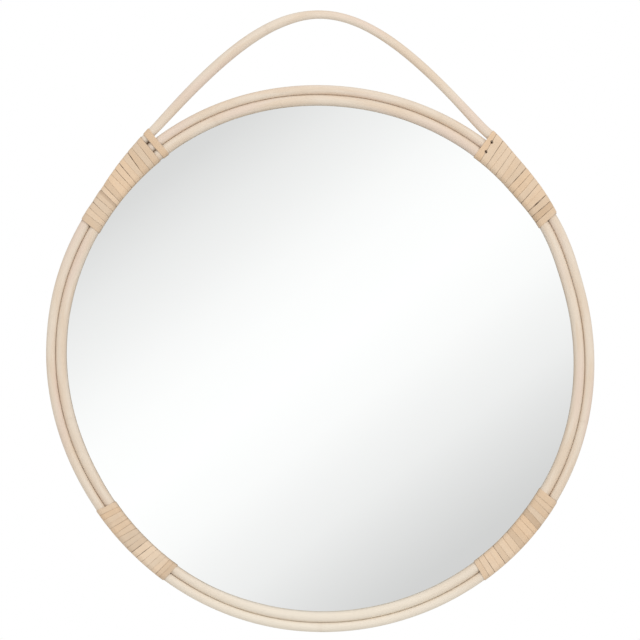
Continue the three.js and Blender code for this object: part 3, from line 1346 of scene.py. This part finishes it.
@dataclass(frozen=True)
class Studio:
    """A white studio: soft light from the front and above, a pale floor and the camera."""

    distance: float = 5.0
    sensor: float = 36.0
    view_width: float = 0.5839
    view_x: float = -0.001
    view_z: float = 0.0347
    floor_z: float = -1.2
    floor_half: float = 3.5
    reflectivity: float = 0.95
    key_place: Triple = (1.4, -2.4, 1.9)
    key_size: float = 1.6
    key_power: float = 14.0

    # The grey of the room in front of the glass, by the distance in millimetres from the middle
    # of the glass towards its upper left, and that direction's share of up and of left.
    room_slant: tuple[float, float] = (0.80, 0.61)
    room: Pairs = (
        (-300.0, 0.60), (-219.0, 0.651), (-200.7, 0.687), (-164.2, 0.768), (-127.7, 0.855),
        (-91.2, 0.905), (-54.7, 0.965), (-27.4, 0.985), (0.0, 1.005), (54.7, 0.985),
        (91.2, 0.947), (127.7, 0.888), (164.2, 0.831), (200.7, 0.753), (219.0, 0.708),
        (300.0, 0.63),
    )

    def world(self) -> None:
        """Lights the scene.

        Seen directly the world is white. For mirrored rays it is the room in front, whose grey
        follows one slanting direction. For all other rays it is soft light that grows towards
        the front and the top.
        """
        world = bpy.data.worlds.new("studio")
        bpy.context.scene.world = world
        nodes = Nodes(world)
        direction = nodes.wire("TexCoord", {}, {}, "Generated")
        east, north, up = nodes.parts(direction)
        rays = nodes.add("LightPath", {}, {})
        seen = Wire(nodes, rays.outputs["Is Camera Ray"])
        mirrored = Wire(nodes, rays.outputs["Is Glossy Ray"])
        rise, west = self.room_slant
        slant = up * rise - east * west + self.view_z * rise / self.distance
        reach = 2.0 * self.room[-1][0] * MM
        share = slant * (self.distance / reach) + 0.5
        stops = [
            (0.5 + place * MM / reach, (grey / self.reflectivity,) * 3)
            for place, grey in self.room
        ]
        room = nodes.wire("ValToRGB", {"stops": stops}, {0: share}, 0)
        soft = nodes.grey(0.78 - north * 0.42 + up * 0.10 + east * 0.04)
        colour = nodes.mix(mirrored, soft, room)
        colour = nodes.mix(seen, colour, (1.0, 1.0, 1.0))
        background = nodes.wire("Background", {}, {"Color": colour, "Strength": 1.0})
        nodes.add("OutputWorld", {}, {"Surface": background})

    def floor(self) -> None:
        """A pale floor, below the view."""
        nodes = material_nodes("studio_floor")
        mottle = nodes.noise(nodes.place(), (0.4, 0.4, 0.4), 3.0)
        colour = nodes.shaded((0.82, 0.82, 0.81), 0.98 + mottle * 0.04)
        material = nodes.dressed({"Base Color": colour, "Roughness": 0.7})
        half = self.floor_half
        corners = [(-half, -half), (half, -half), (half, half), (-half, half)]
        mesh = bpy.data.meshes.new("floor")
        mesh.from_pydata([(x, y, self.floor_z) for x, y in corners], [], [(0, 1, 2, 3)])
        mesh.materials.append(material)
        floor = bpy.data.objects.new("floor", mesh)
        bpy.context.scene.collection.objects.link(floor)

    def key_light(self) -> None:
        """A square soft light, high at the front right, that looks at the middle of the mirror."""
        lamp = bpy.data.lights.new("key_light", "AREA")
        lamp.size = self.key_size
        lamp.energy = self.key_power
        holder = bpy.data.objects.new("key_light", lamp)
        holder.location = east, south, up = self.key_place
        tilt = math.atan2(math.hypot(east, south), up)
        holder.rotation_euler = (tilt, 0.0, math.atan2(south, east) + math.pi / 2.0)
        holder.visible_glossy = False
        holder.visible_camera = False
        bpy.context.scene.collection.objects.link(holder)

    def camera(self) -> None:
        """The camera, level and straight in front, framing the mirror from 5 m."""
        data = bpy.data.cameras.new("camera")
        data.sensor_width = self.sensor
        data.lens = self.sensor * self.distance / self.view_width
        data.clip_end = 50.0
        camera = bpy.data.objects.new("camera", data)
        camera.location = (self.view_x, -self.distance + RING.pole_plane * MM, self.view_z)
        camera.rotation_euler = (math.pi / 2.0, 0.0, 0.0)
        bpy.context.scene.collection.objects.link(camera)
        bpy.context.scene.camera = camera

    def build(self) -> None:
        """Sets up camera, light and floor."""
        self.camera()
        self.world()
        self.floor()
        self.key_light()
        scene = bpy.context.scene
        scene.view_settings.view_transform = "Standard"
        scene.view_settings.look = "None"
        scene.cycles.use_denoising = True


RING = Ring()

UPPER_LEFT = Winding(
    name="upper_left",
    middle_degrees=138.6,
    turns=15,
    sense=-1,
    seed=11,
    collar_space=3.0,
    arch_reach=64.0,
    leans=(0.8, -0.3, -2.8),
    seams=seam_rows(
        (1, 6, 8, 6, 0.7, -0.8), (2, 8, 10, 12, 0.1, 0.5), (3, 14, 16, 42, 0.0, 0.6),
        (4, 14, 16, 18, 0.0, -0.9), (5, 12, 16, 22, 0.8), (6, 22, 26, 22, -0.4),
        (7, 5, 6, 6, -1.0, 1.5), (8, 5, 8, 10, -0.4, -0.8), (9, 18, 25, 28, -1.0),
        (10, 18, 30, 48, -1.1, 0.7), (11, 0, 0, 0, -1.5), (12, 0, 42, 60, -1.8, 2.4),
        (13, 14, 14, 10, -1.3), (14, 14, 18, 20, -1.0, 0.9), (15, 120, 40, 0, -0.5, -0.8),
        (16, 10, 10, 10, 0.1, -1.0),
    ),
    # Turn 4's last edge gets painted shade.
    painted_shade_edges=(4,),
    tones=tone_rows(
        (0, -0.6, 0.0), (3, 0.1, -0.6), (4, 0.2, -0.2, 0.03), (6, -0.6, 0.4), (7, 0.8, 0.5),
        (8, 0.3, 0.5), (9, 0.6, 0.5), (10, 0.3, 0.5), (12, -0.7, 0.6), (14, -0.6, 0.3),
        (15, -0.4, 0.8, 0.05),
    ),
)

UPPER_RIGHT = Winding(
    name="upper_right",
    middle_degrees=42.1,
    turns=14,
    sense=1,
    seed=23,
    collar_space=2.0,
    arch_reach=90.0,
    leans=(1.4, 1.1, -0.4),
    seams=seam_rows(
        (0, 10, 10, 10, -0.2), (1, 32, 26, 14, -0.1, -0.5), (2, 30, 35, 25, -0.1, -1.6),
        (3, 30, 90, 15, 0.3, -1.0), (4, 0, 0, 0, 0.0), (5, 40, 30, 25, -0.6, 0.5),
        (6, 10, 8, 12, -0.2), (7, 28, 20, 12, -0.6, -1.1), (8, 20, 42, 32, -0.2, -1.6),
        (9, 5, 8, 20, -0.3), (10, 5, 6, 12, 0.0, 1.0), (11, 22, 14, 10, -0.1, 0.6),
        (12, 4, 5, 10, 0.1, -1.1), (13, 16, 22, 34, 0.0, 0.5), (14, -180, -180, -170, 0.7, 1.4),
        (15, 10, 10, 10, -0.6, -2.2),
    ),
    holes=((14, 0.436, 2.4), (14, 0.588, 2.4)),
    tones=tone_rows(
        (0, -0.4, 0.3), (1, -1.3, 1.0, 0.15), (2, -0.5, 0.0), (3, 0.1, 0.2), (4, 0.3, 0.2),
        (7, -0.1, 0.6), (10, 0.5, -0.3), (11, 0.6, -0.4), (12, 0.5, -0.3),
    ),
)

LOWER_LEFT = Winding(
    name="lower_left",
    middle_degrees=224.8,
    turns=16,
    sense=-1,
    seed=37,
    strip_width=5.0,
    leans=(0.5, 0.8, 0.5),
    seams=seam_rows(
        (0, 10, 10, 10, 0.1), (1, 4, 4, 6, -0.6), (2, 16, 16, 30, -1.5, -0.5),
        (3, 8, 0, 0, -1.8), (4, 5, 6, 12, -2.2), (5, 4, 5, 20, -1.5, 0.4),
        (6, 14, 40, 24, -0.9, 0.6), (7, 12, 38, 42, 0.2), (8, 0, 4, 16, 0.4),
        (9, 12, 16, 8, 0.2, 0.6), (10, 22, 12, 4, 1.0, 1.6), (11, 20, 10, 3, 0.9, -0.8),
        (12, 22, 12, 3, 1.6), (13, 0, 0, 0, 0.8), (14, 6, 8, 6, 0.6), (15, 4, 5, 16, 0.3, 0.6),
        (16, 10, 10, 10, 0.3),
    ),
    tones=tone_rows(
        (0, -1.1, 0.2, 0.05), (2, 0.8, -0.4), (3, 0.6, -0.8), (4, 1.3, -0.8), (5, 1.5, -0.5),
        (6, 1.2, -0.5), (8, -0.3, -0.7), (9, -0.4, -0.5), (13, 0.2, -0.2),
    ),
)

LOWER_RIGHT = Winding(
    name="lower_right",
    middle_degrees=317.8,
    turns=16,
    sense=-1,
    seed=41,
    strip_width=5.5,
    leans=(0.3, 0.1, -0.6),
    seams=seam_rows(
        (0, 10, 10, 10, 0.2), (1, 10, 10, 8, 0.9), (2, 4, 6, 20, 0.2, 1.0), (3, 0, 0, 4, 0.4),
        (4, 16, 6, 10, 0.2, 1.2), (5, 5, 6, 6, 0.0, 0.3), (6, 5, 8, 8, -0.8),
        (7, 4, 4, 10, -0.1), (8, 5, 5, 6, -0.2), (9, 7, 8, 8, -0.6), (10, 10, 12, 14, 0.1, 0.5),
        (11, 4, 4, 10, 0.6), (12, 28, 28, 36, 0.4), (13, 0, 0, 0, 0.2), (14, 20, 29, 28, 0.7),
        (15, 14, 8, 16, 0.8), (16, 10, 10, 10, 0.1),
    ),
    tones=tone_rows(
        (0, -0.2, 0.3), (4, -1.6, 0.4, 0.18), (5, 0.3, 1.0), (6, 0.5, 0.7), (7, -0.2, 0.8),
        (8, -0.7, 0.3, 0.1), (9, 0.6, 0.1), (10, 1.1, -0.2), (12, 1.1, -0.1), (13, 1.0, -0.1),
    ),
)

WINDINGS = (UPPER_LEFT, UPPER_RIGHT, LOWER_LEFT, LOWER_RIGHT)


def main() -> None:
    """Builds the mirror piece by piece, and the studio round it."""
    logging.basicConfig(level=logging.INFO, format="%(message)s", stream=sys.stdout)
    Studio().build()
    arch = Arch(RING, UPPER_LEFT, UPPER_RIGHT)
    Poles(RING, arch, WINDINGS).build(RattanPoleFinish().material())
    strip = CaneStripFinish().material()
    for winding in WINDINGS:
        Binding(RING, arch, winding).build(strip)
    Glass().build(MirrorFinish())
    Board().build(HardboardFinish().material())


if __name__ == "__main__":
    main()
